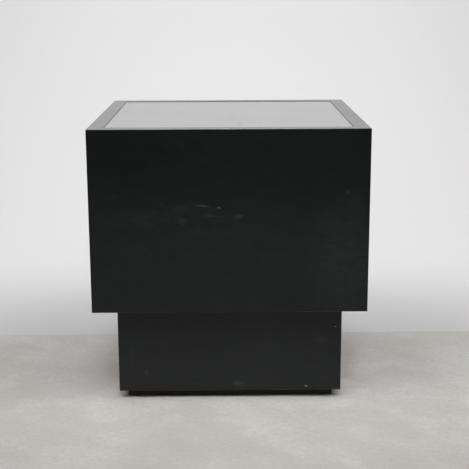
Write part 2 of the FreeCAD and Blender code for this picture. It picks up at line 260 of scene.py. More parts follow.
def make_board_inside():
    """The inner side of four walls: 1 nearly a board's thickness or more in from the outside."""
    inputs = {"Vector": (0, 0, 0), "Half Width": 0.3, "Board": 0.018, "Low": 0.0}
    effect = Effect("inner side", inputs, ["Inside"])
    tree, given = effect.tree, effect.given
    parts = add(tree, "SeparateXYZ", {0: vector_calc(tree, "ABSOLUTE", given["Vector"])}).outputs
    out = calc(tree, "MAXIMUM", parts[0], parts[1])
    inner = calc(tree, "SUBTRACT", given["Half Width"], calc(tree, "MULTIPLY", given["Board"], 0.94))
    height = add(tree, "SeparateXYZ", {0: given["Vector"]}).outputs[2]
    above = calc(tree, "GREATER_THAN", height, calc(tree, "ADD", given["Low"], 0.0005))
    return effect.gives(Inside=calc(tree, "MULTIPLY", calc(tree, "LESS_THAN", out, inner), above))


def make_chipboard():
    """Pressed wood flakes."""
    inputs = {"Vector": (0, 0, 0), "Scale": 150.0}
    effect = Effect("pressed flakes", inputs, ["Flake", "Speck", "Height"])
    tree, given = effect.tree, effect.given
    wander = vector_noise(tree, given["Vector"], 60.0)
    swirl = vector_calc(tree, "MULTIPLY_ADD", wander, (0.006, 0.006, 0.006), given["Vector"])
    cells = add(tree, "TexVoronoi", {"Vector": swirl, "Scale": given["Scale"], "Randomness": 1.0})
    flake = add(tree, "SeparateXYZ", {0: cells.outputs["Color"]}).outputs[0]
    fine = noise(tree, given["Vector"], 900.0, 2.0)
    specks = step(tree, noise(tree, given["Vector"], 330.0, 2.0), 0.64, 0.7)
    height = calc(tree, "ADD", calc(tree, "MULTIPLY", flake, 0.6), calc(tree, "MULTIPLY", fine, 0.4))
    return effect.gives(Flake=flake, Speck=specks, Height=height)


def vector_noise(tree, vector, scale):
    """The colour of a noise texture, as a vector about zero."""
    made = add(tree, "TexNoise", {"Vector": vector, "Scale": scale, "Detail": 2.0}).outputs[1]
    return vector_calc(tree, "SUBTRACT", made, (0.5, 0.5, 0.5))


def make_timber():
    """Growth rings and fibres of a stick whose grain runs along X."""
    inputs = {"Vector": (0, 0, 0), "Ring Width": 0.0026}
    effect = Effect("timber grain", inputs, ["Ring", "Fibre", "Height"])
    tree, given = effect.tree, effect.given
    wander = noise(tree, stretched(tree, given["Vector"], (2.2, 14, 14)), 1.0, 2.0)
    parts = add(tree, "SeparateXYZ", {0: given["Vector"]}).outputs
    across = calc(tree, "MULTIPLY_ADD", parts[1], parts[1], calc(tree, "MULTIPLY", parts[2], parts[2]))
    radius = calc(tree, "ADD", calc(tree, "SQRT", across), calc(tree, "MULTIPLY", wander, 0.016))
    turns = calc(tree, "DIVIDE", radius, given["Ring Width"])
    phase = calc(tree, "FRACT", turns)
    late = calc(tree, "MULTIPLY", step(tree, phase, 0.35, 0.86), step(tree, phase, 1.0, 0.93))
    fibre = noise(tree, stretched(tree, given["Vector"], (16, 900, 900)), 1.0, 3.0)
    height = calc(tree, "ADD", calc(tree, "MULTIPLY", late, 0.5), fibre)
    return effect.gives(Ring=late, Fibre=fibre, Height=height)


EDGE_WEAR = make_edge_wear()
SCRATCHES = make_scratches()
DUST = make_dust()
MARK = make_mark()
BOARD_INSIDE = make_board_inside()
CHIPBOARD = make_chipboard()
TIMBER = make_timber()


# ---- finishes ----

LAMINATE_IOR, LAMINATE_TINT = 1.43, (0.93, 1.0, 0.98, 1)
LAMINATE_GLOSS, RIM_GLOSS = (0.29, 0.33), (0.19, 0.25)
LAMINATE_BLACK = (0.0017, 0.0026, 0.0024, 1)
LAMINATE_FILM = (0.0066, 0.0077, 0.0072, 1)
SCUFF_PALE = (0.105, 0.112, 0.108, 1)
CHIP_PALE = (0.36, 0.365, 0.37, 1)
DUST_GREY = (0.3, 0.29, 0.27, 1)
PEBBLE_SCALE, PEBBLE_DEPTH, SCRATCH_DEPTH = 1500.0, 0.02 * MM, -0.03 * MM
MARK_EDGE, MARK_DEPTH = 1.3, 4 * MM
JOINT_WIDE, JOINT_NARROW, JOINT_DEPTH = 0.5 * MM, 0.1 * MM, -0.3 * MM
CHIP_PALER, CHIP_DARKER, CHIP_SPECK = shade(228, 204, 166), shade(202, 172, 130), shade(150, 116, 80)
BACKING_PALE, BACKING_DARK, BACKING_EDGE = shade(178, 146, 106), shade(150, 118, 82), shade(120, 90, 60)
SHEET_DARK, SHEET_PALE = (0.464, 0.464, 0.462, 1), (0.514, 0.514, 0.512, 1)
# the second colour here is a painted highlight along the sheet's edges
SHEET_BROAD, SHEET_EDGE_HIGHLIGHT = (0.498, 0.498, 0.496, 1), (0.7, 0.7, 0.7, 1)
SHEET_GLOSS, SHEET_WIPED = (0.3, 0.38), 0.03
ZINC_BRIGHT, ZINC_WARM = (0.62, 0.63, 0.64, 1), (0.58, 0.53, 0.4, 1)
PLASTIC_BLACK, PLASTIC_SCRAPED = (0.018, 0.018, 0.019, 1), (0.07, 0.068, 0.065, 1)
FELT_DARK, FELT_PALE = (0.045, 0.045, 0.05, 1), (0.16, 0.16, 0.165, 1)
PINE_EARLY, PINE_LATE = shade(222, 190, 146), shade(190, 138, 86)
KICK_EARLY, KICK_LATE = (0.014, 0.009, 0.0035, 1), (0.009, 0.006, 0.0022, 1)
# painted light: the paler colour at the kick battens' foot stands for light thrown up from the floor
KICK_FOOT_LIGHT = (0.026, 0.019, 0.009, 1)

# rubbed marks: x and z of the middle, width, height, tilt in degrees, strength
CASE_MARKS = (
    (-0.020, 0.375, 0.700, 0.240, 0, 0.034),
    (-0.056, 0.457, 0.038, 0.006, -5, 0.28),
    (-0.022, 0.452, 0.011, 0.005, -5, 0.5),
    (0.017, 0.434, 0.028, 0.013, 0, 0.24),
    (0.027, 0.434, 0.010, 0.010, 0, 0.22),
    (-0.018, 0.433, 0.014, 0.004, 0, 0.22),
    (-0.038, 0.435, 0.028, 0.010, 0, 0.14),
    (-0.099, 0.421, 0.022, 0.026, 10, 0.12),
    (-0.107, 0.450, 0.070, 0.026, -3, 0.07),
    (-0.145, 0.462, 0.024, 0.009, 0, 0.09),
    (-0.243, 0.478, 0.022, 0.014, 0, 0.06),
    (-0.165, 0.426, 0.270, 0.060, 0, 0.055),
    (-0.020, 0.405, 0.060, 0.040, 0, 0.05),
    (-0.180, 0.323, 0.030, 0.008, -24, 0.07),
    (0.252, 0.485, 0.013, 0.014, 0, 0.16),
    (0.262, 0.452, 0.044, 0.074, -18, 0.06),
    (0.215, 0.440, 0.066, 0.016, 0, 0.06),
    (0.281, 0.335, 0.016, 0.030, 0, 0.07),
    (0.245, 0.350, 0.200, 0.300, 0, 0.075),
    (0.258, 0.270, 0.066, 0.040, 0, 0.065),
    (0.214, 0.232, 0.006, 0.030, 0, 0.08),
)
BASE_MARKS = (
    (0.018, 0.036, 0.030, 0.014, 0, 0.26),
    (-0.188, 0.063, 0.010, 0.010, 0, 0.16),
    (0.205, 0.140, 0.036, 0.026, 0, 0.07),
    (0.212, 0.048, 0.020, 0.010, 0, 0.06),
    (-0.220, 0.105, 0.016, 0.050, 0, 0.06),
    (-0.080, 0.036, 0.034, 0.008, 0, 0.07),
)
# small chips in the black face: x and z of the middle, width and height
BASE_CHIPS = ((0.172, 0.029, 0.0075, 0.0026), (0.236, 0.170, 0.0035, 0.002))


def marks_on(tree, place, face, marks, streaks):
    """The strongest of the rubbed marks on the face that looks to the front."""
    total = None
    for x, z, width, height, tilt, strength in marks:
        found = MARK.place(
            tree,
            Vector=place,
            Centre=(x, -face, z),
            Size=(width / 2 * MARK_EDGE, MARK_DEPTH, height / 2 * MARK_EDGE),
            Tilt=math.radians(tilt),
            Streaks=streaks,
            Strength=strength,
        )["Mark"]
        total = found if total is None else calc(tree, "MAXIMUM", total, found)
    return total


def black_board(name, half, low, high, marks=(), chips=()):
    """Satin black faced board with worn edges, a handled film and scratches, and raw chipboard inside."""
    made, tree, shader, place = material(name, IOR=LAMINATE_IOR, Specular_Tint=LAMINATE_TINT)
    middle, half_height = (low + high) / 2, (high - low) / 2
    wear = EDGE_WEAR.place(tree, Vector=place, Centre=(0, 0, middle), Half_Size=(half, half, half_height))
    scratch = SCRATCHES.place(tree, Vector=place)
    normal = add(tree, "NewGeometry").outputs["True Normal"]
    dust = DUST.place(tree, Vector=place, Normal=normal)["Dust"]
    inside = BOARD_INSIDE.place(tree, Vector=place, Half_Width=half, Board=BOARD, Low=low)["Inside"]
    film = ramp(tree, scratch["Film"], 0.34, 0.66)
    colour = blend(tree, calc(tree, "MULTIPLY", film, 0.7), LAMINATE_BLACK, LAMINATE_FILM)
    colour = blend(tree, calc(tree, "MULTIPLY", scratch["Scratch"], 0.05), colour, SCUFF_PALE)
    roughness = spread(tree, film, *LAMINATE_GLOSS)
    if marks:
        lines = noise(tree, stretched(tree, place, (40, 40, 300)), 1.0, 2.0)
        lumps = noise(tree, stretched(tree, place, (55, 55, 110)), 1.0, 3.0)
        uneven = calc(tree, "MULTIPLY_ADD", lines, 0.4, calc(tree, "MULTIPLY", lumps, 0.6))
        streaks = step(tree, uneven, 0.36, 0.6, 0.4)
        rubbed = marks_on(tree, place, half, marks, streaks)
        colour = blend(tree, rubbed, colour, SCUFF_PALE)
        roughness = calc(tree, "MULTIPLY_ADD", rubbed, 0.25, roughness)
    if chips:
        rows = [(x, z, width, height, 0, 1.0) for x, z, width, height in chips]
        chipped = step(tree, marks_on(tree, place, half, rows, 1.0), 0.3, 0.6)
        colour = blend(tree, chipped, colour, CHIP_PALE)
        roughness = calc(tree, "MULTIPLY_ADD", chipped, 0.3, roughness)
    colour = blend(tree, calc(tree, "MULTIPLY", wear["Wear"], 0.35), colour, SCUFF_PALE)
    colour = blend(tree, calc(tree, "MULTIPLY", dust, 0.02), colour, DUST_GREY)
    raw = chipboard_colour(tree, place)
    colour = blend(tree, inside, colour, raw)
    roughness = calc(tree, "MULTIPLY_ADD", inside, 0.5, roughness)
    surface = bump(tree, noise(tree, place, PEBBLE_SCALE, 2.0), PEBBLE_DEPTH)
    surface = bump(tree, noise(tree, place, 5.0, 1.0), 0.6 * MM, normal=surface)
    surface = bump(tree, scratch["Scratch"], SCRATCH_DEPTH, normal=surface)
    fill(shader, {"Base Color": colour, "Roughness": roughness, "Normal": surface})
    return made


def chipboard_colour(tree, place):
    """The colour of raw chipboard."""
    flakes = CHIPBOARD.place(tree, Vector=place)
    colour = blend(tree, flakes["Flake"], CHIP_DARKER, CHIP_PALER)
    return blend(tree, flakes["Speck"], colour, CHIP_SPECK)


def rim_board(name):
    """The rim's black board, with hairline mitre joints at its corners."""
    made, tree, shader, place = material(
        name, IOR=LAMINATE_IOR, Specular_Tint=LAMINATE_TINT, Sheen_Weight=0.22, Sheen_Roughness=0.4
    )
    scratch = SCRATCHES.place(tree, Vector=place)
    normal = add(tree, "NewGeometry").outputs["True Normal"]
    dust = DUST.place(tree, Vector=place, Normal=normal)["Dust"]
    middle = (CASE_LOW + CASE_HIGH) / 2
    wear = EDGE_WEAR.place(
        tree,
        Vector=place,
        Centre=(0, 0, middle),
        Half_Size=(CASE_HALF, CASE_HALF, CASE_HIGH - middle),
    )
    parts = add(tree, "SeparateXYZ", {0: vector_calc(tree, "ABSOLUTE", place)}).outputs
    apart = calc(tree, "ABSOLUTE", calc(tree, "SUBTRACT", parts[0], parts[1]))
    joint = step(tree, apart, JOINT_WIDE, JOINT_NARROW)
    film = ramp(tree, scratch["Film"], 0.25, 0.75)
    colour = blend(tree, calc(tree, "MULTIPLY", film, 0.3), LAMINATE_BLACK, LAMINATE_FILM)
    colour = blend(tree, calc(tree, "MULTIPLY", scratch["Scratch"], 0.1), colour, SCUFF_PALE)
    colour = blend(tree, calc(tree, "MULTIPLY", wear["Wear"], 0.3), colour, SCUFF_PALE)
    colour = blend(tree, calc(tree, "MULTIPLY", dust, 0.06), colour, DUST_GREY)
    roughness = calc(tree, "MULTIPLY_ADD", joint, 0.5, spread(tree, film, *RIM_GLOSS))
    surface = bump(tree, noise(tree, place, PEBBLE_SCALE, 2.0), PEBBLE_DEPTH)
    surface = bump(tree, scratch["Scratch"], SCRATCH_DEPTH, normal=surface)
    surface = bump(tree, joint, JOINT_DEPTH, normal=surface)
    fill(shader, {"Base Color": colour, "Roughness": roughness, "Normal": surface})
    return made


def chipboard(name):
    """Raw chipboard."""
    made, tree, shader, place = material(name, roughness=0.85)
    flakes = CHIPBOARD.place(tree, Vector=place)
    normal = add(tree, "NewGeometry").outputs["True Normal"]
    dust = DUST.place(tree, Vector=place, Normal=normal)["Dust"]
    colour = blend(tree, calc(tree, "MULTIPLY", dust, 0.3), chipboard_colour(tree, place), DUST_GREY)
    fill(shader, {"Base Color": colour, "Normal": bump(tree, flakes["Height"], 0.2 * MM, 0.6)})
    return made


def fibreboard(name):
    """Fine brown fibreboard with a darker sawn edge."""
    made, tree, shader, place = material(name, roughness=0.8)
    fibre = noise(tree, stretched(tree, place, (260, 300, 900)), 1.0, 4.0)
    low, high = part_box("panel_backing")
    half = (high.x, high.y, (high.z - low.z) / 2)
    wear = EDGE_WEAR.place(tree, Vector=place, Centre=(0, 0, (low.z + high.z) / 2), Half_Size=half)
    colour = blend(tree, fibre, BACKING_DARK, BACKING_PALE)
    colour = blend(tree, calc(tree, "MULTIPLY", wear["Wear"], 0.5), colour, BACKING_EDGE)
    fill(shader, {"Base Color": colour, "Normal": bump(tree, fibre, 0.1 * MM, 0.5)})
    return made


def timber(name, along, early, late, roughness, stain=0.0, foot_light=None):
    """Softwood with its grain along one axis, darker in patches, with painted light making it paler towards
    its foot if told.
    """
    made, tree, shader, place = material(name, Specular_IOR_Level=0.15 if foot_light else 0.5)
    turn = {"x": (0, 0, 0), "y": (0, 0, math.pi / 2), "z": (0, math.pi / 2, 0)}[along]
    grain_place = add(
        tree, "Mapping", {"Vector": place, "Rotation": turn, "Location": (0, 0.03, -0.19)}
    ).outputs[0]
    grain = TIMBER.place(tree, Vector=grain_place)
    colour = blend(tree, grain["Ring"], early, late)
    colour = blend(tree, step(tree, grain["Fibre"], 0.5, 0.75, 0.0, 0.35), colour, late)
    patches = step(tree, noise(tree, place, 14.0, 4.0), 0.35, 0.7)
    colour = blend(tree, calc(tree, "MULTIPLY", patches, 0.25 + stain), colour, late)
    if foot_light:
        low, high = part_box("kick_front_batten")
        height = add(tree, "SeparateXYZ", {0: place}).outputs[2]
        ragged = calc(tree, "MULTIPLY_ADD", grain["Fibre"], 6 * MM, height)
        # painted light: the batten turns paler towards its foot, where light from the floor falls, while its
        # top, shaded under the base, keeps the dark stain
        rubbed = step(tree, ragged, high.z + 2 * MM, low.z + 3 * MM)
        colour = blend(tree, rubbed, colour, foot_light)
    roughness = spread(tree, grain["Fibre"], roughness - 0.08, roughness + 0.08)
    surface = bump(tree, grain["Height"], 0.18 * MM, 0.7)
    fill(shader, {"Base Color": colour, "Roughness": roughness, "Normal": surface})
    return made


def brushed_sheet(name):
    """Aluminium sheet brushed from side to side, with faint wiping marks and a painted highlight along its
    edges.
    """
    made, tree, shader, place = material(name, Metallic=1.0)
    low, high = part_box("panel_sheet")
    wear = EDGE_WEAR.place(
        tree,
        Vector=place,
        Centre=(0, 0, (low.z + high.z) / 2),
        Half_Size=(high.x, high.y, (high.z - low.z) / 2),
        Width=1.2 * MM,
    )
    brush = noise(tree, stretched(tree, place, (7, 1600, 1600)), 1.0, 4.0)
    broad = noise(tree, stretched(tree, place, (3, 90, 90)), 1.0, 3.0)
    wipes = noise(tree, stretched(tree, place, (3, 8, 8), (0, 0, 0.4)), 1.0, 3.0)
    scratch = SCRATCHES.place(tree, Vector=place)["Scratch"]
    colour = blend(tree, brush, SHEET_DARK, SHEET_PALE)
    colour = blend(tree, step(tree, broad, 0.4, 0.7, 0.0, 0.3), colour, SHEET_BROAD)
    # painted highlight: a paler colour along the sheet's edges stands for the glint on their bevels
    colour = blend(tree, wear["Edge"], colour, SHEET_EDGE_HIGHLIGHT)
    wiped = step(tree, wipes, 0.4, 0.7, 0.0, SHEET_WIPED)
    roughness = calc(tree, "ADD", spread(tree, brush, *SHEET_GLOSS), wiped)
    roughness = calc(tree, "MULTIPLY_ADD", scratch, 0.1, roughness)
    surface = bump(tree, brush, 0.012 * MM)
    surface = bump(tree, scratch, -0.02 * MM, normal=surface)
    fill(shader, {"Base Color": colour, "Roughness": roughness, "Normal": surface})
    return made


def zinc_steel(name):
    """Bright zinc plate with a faint warm bloom."""
    made, tree, shader, place = material(name, Metallic=1.0)
    bloom = noise(tree, place, 120.0, 3.0, 0.8)
    grain = noise(tree, place, 2400.0, 2.0)
    colour = blend(tree, step(tree, bloom, 0.4, 0.7), ZINC_BRIGHT, ZINC_WARM)
    roughness = spread(tree, bloom, 0.28, 0.46)
    fill(shader, {"Base Color": colour, "Roughness": roughness, "Normal": bump(tree, grain, 0.02 * MM)})
    return made


def moulded_plastic(name):
    """Dark moulded plastic with a fine spark texture and scraped high spots."""
    made, tree, shader, place = material(name)
    spark = noise(tree, place, 1800.0, 2.0)
    scrape = noise(tree, stretched(tree, place, (60, 900, 60), (0, 0, 0.4)), 1.0, 3.0)
    scrape = step(tree, scrape, 0.55, 0.75)
    colour = blend(tree, scrape, PLASTIC_BLACK, PLASTIC_SCRAPED)
    roughness = spread(tree, scrape, 0.5, 0.7)
    fill(shader, {"Base Color": colour, "Roughness": roughness, "Normal": bump(tree, spark, 0.05 * MM)})
    return made


def grey_felt(name):
    """Pressed grey felt with crossing fibres."""
    made, tree, shader, place = material(name, roughness=0.95, Sheen_Weight=0.4, Sheen_Roughness=0.5)
    first = noise(tree, stretched(tree, place, (400, 2600, 2600), (0, 0, 0.7)), 1.0, 3.0, 0.8)
    second = noise(tree, stretched(tree, place, (2600, 400, 2600), (0, 0, -0.4)), 1.0, 3.0, 0.8)
    fibres = calc(tree, "MAXIMUM", first, second)
    colour = blend(tree, step(tree, fibres, 0.4, 0.75), FELT_DARK, FELT_PALE)
    fill(shader, {"Base Color": colour, "Normal": bump(tree, fibres, 0.3 * MM)})
    return made


def assign(made, *nodes):
    """Gives CAD nodes a finish."""
    for node in nodes:
        mesh = NODES[node].data
        mesh.materials.clear()
        mesh.materials.append(made)


ZINC = zinc_steel("zinc_plate")
FELT = grey_felt("grey_felt")


def finish_nodes():
    """Every CAD node that shows gets its finish."""
    case_front = black_board("case_front_laminate", CASE_HALF, CASE_LOW, CASE_HIGH, CASE_MARKS)
    base_front = black_board("base_front_laminate", BASE_HALF, BASE_LOW, BASE_HIGH, BASE_MARKS, BASE_CHIPS)
    case_side = black_board("case_laminate", CASE_HALF, CASE_LOW, CASE_HIGH)
    base_side = black_board("base_laminate", BASE_HALF, BASE_LOW, BASE_HIGH)
    assign(case_front, "case_front_panel")
    assign(base_front, "base_front_panel")
    assign(case_side, "case_right_panel", "case_back_panel", "case_left_panel", "case_floor")
    assign(base_side, "base_right_panel", "base_back_panel", "base_left_panel")
    assign(rim_board("rim_laminate"), *(f"rim_{side}_rail" for side in SIDES))
    assign(chipboard("raw_chipboard"), "base_lid", "base_floor")
    assign(fibreboard("fibreboard"), "panel_backing")
    assign(brushed_sheet("brushed_aluminium"), "panel_sheet")
    upright = timber("pine_post", "z", PINE_EARLY, PINE_LATE, 0.7)
    assign(upright, *(f"{block}_post_{corner}" for block in ("case", "base") for corner in CORNERS))
    for axis, sides in (("x", ("front", "back")), ("y", ("left", "right"))):
        pine = timber(f"pine_batten_{axis}", axis, PINE_EARLY, PINE_LATE, 0.7)
        kick = timber(f"stained_batten_{axis}", axis, KICK_EARLY, KICK_LATE, 0.6, 0.2, KICK_FOOT_LIGHT)
        assign(pine, *(f"ledge_{side}_batten" for side in sides))
        assign(kick, *(f"kick_{side}_batten" for side in sides))
    assign(moulded_plastic("glide_plastic"), *(f"glide_{corner}" for corner in CORNERS))
    assign(ZINC, "glide_nails", "deck_washers", "deck_tee_nuts")


# ---- modelled fixings and felt ----

SCREW_HEAD, SCREW_SHANK, SCREW_SINK, SCREW_TIP = 4 * MM, 2 * MM, 2.6 * MM, 5 * MM
LONG_SCREW, RIM_SCREW, KICK_SCREW = 50 * MM, 35 * MM, 30 * MM
THREAD_PITCH, THREAD_ROOT = 2.4 * MM, 0.72
POST_MARGIN, POST_STAGGER = 50 * MM, 22 * MM
LEDGE_SPREAD, RAIL_SPREAD, DOT_SPREAD = 180 * MM, 120 * MM, 130 * MM
BOLT_SPREAD, BOLT_FLATS, BOLT_SHANK, BOLT_LENGTH = 150 * MM, 13 * MM, 4 * MM, 45 * MM
BOLT_THREADS, BOLT_ROOT, BOLT_CHAMFER = 16, 0.86, 0.7 * MM
DISH_RIM, DISH_DEPTH = 1.2 * MM, 0.35 * MM
RECESS_LONG, RECESS_NARROW, RECESS_HEIGHT, RECESS_TAPER = 4.2 * MM, 0.9 * MM, 2.4 * MM, 0.45
SCREW_RIM, SCREW_RIM_SCALE, SCREW_NECK = 0.15 * MM, 0.975, 0.25
DOT_RADIUS, DOT_EDGE, DOT_RING, DOT_ROUGHNESS = 6 * MM, 0.9 * MM, 1 * MM, 0.05 * MM
SMOOTH_METAL, SMOOTH_FELT = 35, 60
UP, DOWN = Vector((0, 0, 1)), Vector((0, 0, -1))


def deselect():
    """Deselects every object."""
    bpy.ops.object.select_all(action="DESELECT")


def pick_faces(thing, test):
    """In edit mode, selects only the faces that pass the test."""
    shape = bmesh.from_edit_mesh(thing.data)
    bpy.ops.mesh.select_all(action="DESELECT")
    for face in shape.faces:
        if test(face):
            face.select_set(True)
    bmesh.update_edit_mesh(thing.data)


def draw_on(height, factor):
    """Extrudes the selected end along the axis and scales it about the axis."""
    bpy.ops.mesh.extrude_region_move(TRANSFORM_OT_translate={"value": (0, 0, height)})
    bpy.ops.transform.resize(value=(factor, factor, 1), center_override=(0, 0, 0))


def draw_thread(length):
    """A thread of sharp ridges along the selected end."""
    turns = round(length / THREAD_PITCH)
    for _ in range(turns):
        draw_on(length / turns * 0.6, THREAD_ROOT)
        draw_on(length / turns * 0.4, 1 / THREAD_ROOT)


def combine(thing, tool, operation):
    """Unites a piece with a tool, or cuts the tool out of it, and removes the tool."""
    made = thing.modifiers.new("combine", "BOOLEAN")
    made.operation, made.solver, made.object = operation, "EXACT", tool
    deselect()
    bpy.context.view_layer.objects.active = thing
    thing.select_set(True)
    bpy.ops.object.modifier_apply(modifier=made.name)
    bpy.data.objects.remove(tool, do_unlink=True)


def cross_tool():
    """A tapering cross, for the recess of a screw's head."""
    arms = []
    for width, depth in ((RECESS_LONG, RECESS_NARROW), (RECESS_NARROW, RECESS_LONG)):
        deselect()
        bpy.ops.mesh.primitive_cube_add(size=1, location=(0, 0, RECESS_HEIGHT / 4))
        arm = bpy.context.object
        arm.scale = (width, depth, RECESS_HEIGHT)
        bpy.ops.object.transform_apply(location=True, rotation=True, scale=True)
        bpy.ops.object.mode_set(mode="EDIT")
        pick_faces(arm, lambda face: face.normal.z > 0.9)
        bpy.ops.transform.resize(value=(RECESS_TAPER, RECESS_TAPER, 1), center_override=(0, 0, 0))
        bpy.ops.object.mode_set(mode="OBJECT")
        arms.append(arm)
    joined, other = arms
    combine(joined, other, "UNION")
    return joined


def wood_screw(length):
    """A countersunk wood screw with a cross recess. Its head is at the origin and it points up."""
    deselect()
    bpy.ops.mesh.primitive_cylinder_add(
        vertices=16,
        radius=SCREW_HEAD * SCREW_RIM_SCALE,
        depth=SCREW_RIM,
        location=(0, 0, SCREW_RIM / 2),
    )
    screw = bpy.context.object
    bpy.ops.object.transform_apply(location=True, rotation=True, scale=True)
    bpy.ops.object.mode_set(mode="EDIT")
    pick_faces(screw, lambda face: face.normal.z > 0.9)
    draw_on(SCREW_SINK - SCREW_RIM, SCREW_SHANK / SCREW_HEAD)
    draw_on(length * SCREW_NECK - SCREW_SINK, 1)
    draw_thread(length * (1 - SCREW_NECK) - SCREW_TIP)
    draw_on(SCREW_TIP * 0.9, 0.3)
    draw_on(SCREW_TIP * 0.1, 0.1)
    bpy.ops.object.mode_set(mode="OBJECT")
    combine(screw, cross_tool(), "DIFFERENCE")
    return screw


def deck_bolt():
    """A hexagon bolt with a chamfered head. The underside of its head is at the origin and it points up."""
    head = size_of("deck_bolts").z - BOLT_LENGTH
    deselect()
    bpy.ops.mesh.primitive_cylinder_add(
        vertices=6,
        radius=BOLT_FLATS / math.sqrt(3),
        depth=head,
        location=(0, 0, -head / 2),
        rotation=(0, 0, math.pi / 2),
    )
    bolt = bpy.context.object
    bpy.ops.object.transform_apply(location=True, rotation=True, scale=True)
    bpy.ops.object.mode_set(mode="EDIT")
    pick_faces(bolt, lambda face: face.normal.z < -0.9)
    bpy.ops.mesh.bevel(offset=BOLT_CHAMFER, segments=2, affect="EDGES")
    pick_faces(bolt, lambda face: face.normal.z < -0.99)
    bpy.ops.mesh.inset(thickness=DISH_RIM)
    bpy.ops.transform.translate(value=(0, 0, DISH_DEPTH))
    bpy.ops.object.mode_set(mode="OBJECT")
    deselect()
    bpy.ops.mesh.primitive_cylinder_add(vertices=24, radius=BOLT_SHANK, depth=1 * MM)
    shank = bpy.context.object
    bpy.ops.object.mode_set(mode="EDIT")
    pick_faces(shank, lambda face: face.normal.z > 0.9)
    draw_on(BOLT_LENGTH * 0.4, 1)
    for _ in range(BOLT_THREADS):
        draw_on(BOLT_LENGTH * 0.56 / BOLT_THREADS / 2, BOLT_ROOT)
        draw_on(BOLT_LENGTH * 0.56 / BOLT_THREADS / 2, 1 / BOLT_ROOT)
    draw_on(BOLT_LENGTH * 0.04 - 0.5 * MM, 0.85)
    bpy.ops.object.mode_set(mode="OBJECT")
    combine(bolt, shank, "UNION")
    return bolt


def felt_dot(height):
    """A felt dot with a soft upper edge and a slightly crowned top, standing on the origin."""
    deselect()
    bpy.ops.mesh.primitive_cylinder_add(
        vertices=40, radius=DOT_RADIUS, depth=height, location=(0, 0, height / 2)
    )
    dot = bpy.context.object
    bpy.ops.object.transform_apply(location=True, rotation=True, scale=True)
    bpy.ops.object.mode_set(mode="EDIT")
    pick_faces(dot, lambda face: face.normal.z > 0.9)
    bpy.ops.mesh.bevel(offset=DOT_EDGE, segments=4, affect="EDGES")
    pick_faces(dot, lambda face: face.normal.z > 0.99)
    for _ in range(4):
        bpy.ops.mesh.inset(thickness=DOT_RING)
    pick_faces(dot, lambda face: abs(face.normal.z) < 0.1)
    bpy.ops.mesh.subdivide(number_cuts=3)
    bpy.ops.mesh.select_all(action="SELECT")
    bpy.ops.transform.vertex_random(offset=DOT_ROUGHNESS, uniform=1.0, seed=3)
    bpy.ops.object.mode_set(mode="OBJECT")
    return dot


def set_out(pattern, spots, node, finish, smooth):
    """Copies a pattern to each spot, joins the copies and lets them stand for the CAD node."""
    copies = []
    for point, direction in spots:
        copy = pattern.copy()
        copy.data = pattern.data.copy()
        bpy.context.scene.collection.objects.link(copy)
        turned = direction.to_track_quat("Z", "Y").to_matrix().to_4x4()
        copy.matrix_world = Matrix.Translation(point) @ turned
        copies.append(copy)
    deselect()
    for copy in copies:
        copy.select_set(True)
    bpy.context.view_layer.objects.active = copies[0]
    bpy.ops.object.transform_apply(location=True, rotation=True, scale=True)
    bpy.ops.object.join()
    group = bpy.context.object
    group.name = group.data.name = f"modelled_{node}"
    group.data.materials.clear()
    group.data.materials.append(finish)
    bpy.ops.object.shade_smooth_by_angle(angle=math.radians(smooth))
    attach(group, "plinth")
    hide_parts(node)
    deselect()
    return group


def middle_of(node):
    """The middle of a node's box."""
    low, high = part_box(node)
    return (low + high) / 2


def post_spots(block, rows):
    """Screws that cross in each corner post, one through each of its two inner faces in every row."""
    spots = []
    for corner in CORNERS:
        low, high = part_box(f"{block}_post_{corner}")
        middle = (low + high) / 2
        half = (high.x - low.x) / 2
        across = Vector((math.copysign(1, middle.x), 0, 0))
        along = Vector((0, math.copysign(1, middle.y), 0))
        for row in range(rows):
            share = row / (rows - 1)
            height = low.z + POST_MARGIN + share * (high.z - low.z - 2 * POST_MARGIN)
            centre = Vector((middle.x, middle.y, height))
            spots.append((centre - along * half - UP * POST_STAGGER / 2, along))
            spots.append((centre - across * half + UP * POST_STAGGER / 2, across))
    return spots


def side_spots(line, height, steps, direction=None):
    """Spots on each side: a distance from the middle, steps along the side. Outward unless told."""
    spots = []
    for turn in range(4):
        around = Matrix.Rotation(turn * math.pi / 2, 3, "Z")
        for along in steps:
            outward = around @ Vector((0, -1, 0))
            spots.append((around @ Vector((along, -line, height)), direction or outward))
    return spots


def corner_spots(node_start, height, direction):
    """A spot over the middle of each corner post of a block."""
    spots = []
    for corner in CORNERS:
        middle = middle_of(f"{node_start}_post_{corner}")
        spots.append((Vector((middle.x, middle.y, height)), direction))
    return spots


